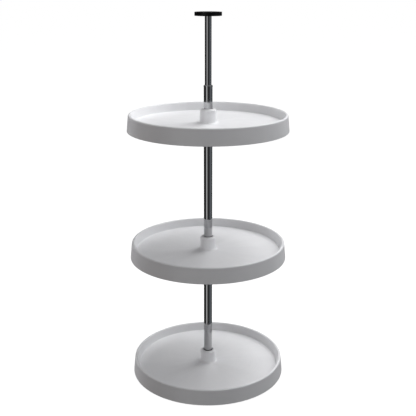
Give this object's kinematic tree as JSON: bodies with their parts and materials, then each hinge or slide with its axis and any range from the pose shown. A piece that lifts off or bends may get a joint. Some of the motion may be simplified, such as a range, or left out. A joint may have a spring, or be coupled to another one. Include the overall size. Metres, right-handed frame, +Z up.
{
  "type": "rotating pantry carousel",
  "caption": "Round trays with raised rims, each turning by itself on a telescoping post that is fixed between the floor and the ceiling of a tall cabinet.",
  "frame": {"origin": "centre of the floor bracket's underside, on the axis of the post", "axes": "+Z up along the post; +X to the right and -Y towards the viewer in the picture; the lock screw and the collars' slits face +Y"},
  "size_m": [0.466, 0.466, 1.0964],
  "materials": {
    "white_polymer": "satin moulded white polymer",
    "chrome": "bright chrome plate",
    "black_nylon": "satin moulded black nylon",
    "grey_acetal": "smooth dark grey acetal",
    "natural_acetal": "smooth natural acetal",
    "zinc_steel": "bright zinc plate over turned steel",
    "black_steel": "black oxide steel"
  },
  "bodies": {
    "post": {"floor_bracket": "black_nylon", "bracket_screw": "zinc_steel", "tube_end_plug": "grey_acetal", "lower_tube": "chrome", "tube_ferrule": "chrome", "lock_screw": "black_steel", "middle_support_collar": "zinc_steel", "middle_collar_screw": "black_steel", "top_support_collar": "zinc_steel", "top_collar_screw": "black_steel", "bottom_thrust_washer": "natural_acetal", "middle_thrust_washer": "natural_acetal", "top_thrust_washer": "natural_acetal"},
    "telescoping_rod": {"upper_rod": "chrome", "rod_guide": "natural_acetal", "rod_end_plug": "grey_acetal"},
    "ceiling_bracket": {"top_bracket": "black_nylon"},
    "bottom_shelf": {"bottom_tray": "white_polymer", "bottom_upper_bush": "grey_acetal", "bottom_lower_bush": "grey_acetal"},
    "middle_shelf": {"middle_tray": "white_polymer", "middle_upper_bush": "grey_acetal", "middle_lower_bush": "grey_acetal"},
    "top_shelf": {"top_tray": "white_polymer", "top_upper_bush": "grey_acetal", "top_lower_bush": "grey_acetal"}
  },
  "joints": [
    {"name": "bottom_shelf_spin", "type": "hinge", "parent": "post", "child": "bottom_shelf", "pos_m": [0, 0, 0.057], "axis": [0, 0, 1], "continuous": true},
    {"name": "middle_shelf_spin", "type": "hinge", "parent": "post", "child": "middle_shelf", "pos_m": [0, 0, 0.4332], "axis": [0, 0, 1], "continuous": true},
    {"name": "top_shelf_spin", "type": "hinge", "parent": "post", "child": "top_shelf", "pos_m": [0, 0, 0.8164], "axis": [0, 0, 1], "continuous": true},
    {"name": "telescope_slide", "type": "slide", "parent": "post", "child": "telescoping_rod", "axis": [0, 0, 1], "range_m": [-0.189, 0.0745]},
    {"name": "ceiling_bracket_turn", "type": "hinge", "parent": "telescoping_rod", "child": "ceiling_bracket", "pos_m": [0, 0, 1.09], "axis": [0, 0, 1], "continuous": true}
  ]
}
